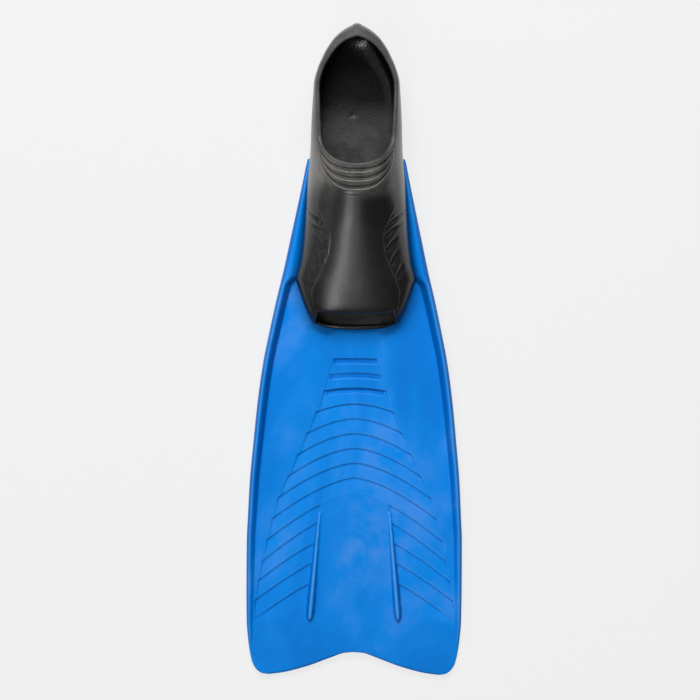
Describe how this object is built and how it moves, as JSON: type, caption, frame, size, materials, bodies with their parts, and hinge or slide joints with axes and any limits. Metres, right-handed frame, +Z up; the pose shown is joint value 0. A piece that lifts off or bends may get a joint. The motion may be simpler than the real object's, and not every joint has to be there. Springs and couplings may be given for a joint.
{
  "type": "swim fin",
  "caption": "Full-foot swim fin: stiff blue fishtail blade with side rails, shingle steps and ribs, and a soft black rubber foot pocket with an open toe and a folding heel.",
  "frame": {"origin": "on the floor under the middle of the fin's length and width", "axes": "+Z up; +Y towards the heel, so the blade's tip is at -Y; +X to the right seen from above with the heel away"},
  "size_m": [0.1922, 0.58, 0.0701],
  "materials": {
    "blade_blue": "satin moulded",
    "rail_blue": "satin moulded",
    "pocket_rubber": "matte moulded",
    "footbed_rubber": "mottled matte",
    "outsole_rubber": "grained matte"
  },
  "bodies": {
    "foot_pocket": {"root_panel": "blade_blue", "sole_tongue": "blade_blue", "left_root_rail": "rail_blue", "right_root_rail": "rail_blue", "left_side_wall": "pocket_rubber", "right_side_wall": "pocket_rubber", "left_ankle_wall": "pocket_rubber", "right_ankle_wall": "pocket_rubber", "instep_panel": "pocket_rubber", "throat_ripples": "pocket_rubber", "throat_collar": "pocket_rubber", "toe_lip": "pocket_rubber", "heel_counter": "pocket_rubber", "footbed": "footbed_rubber", "forefoot_outsole": "outsole_rubber", "arch_outsole": "outsole_rubber", "heel_outsole": "outsole_rubber"},
    "blade": {"blade_panel": "blade_blue", "left_blade_rail": "rail_blue", "right_blade_rail": "rail_blue", "left_power_rib": "blade_blue", "right_power_rib": "blade_blue"},
    "heel": {"heel_cuff": "pocket_rubber", "heel_collar": "pocket_rubber"}
  },
  "joints": [
    {"name": "blade_flex", "type": "hinge", "parent": "foot_pocket", "child": "blade", "pos_m": [0, -0.044, 0.008], "axis": [1, 0, 0], "range_deg": [-20, 20], "stiffness_Nm_per_rad": 12},
    {"name": "heel_fold", "type": "hinge", "parent": "foot_pocket", "child": "heel", "pos_m": [0, 0.29, 0.018], "axis": [-1, 0, 0], "range_deg": [0, 50], "stiffness_Nm_per_rad": 1.2}
  ]
}
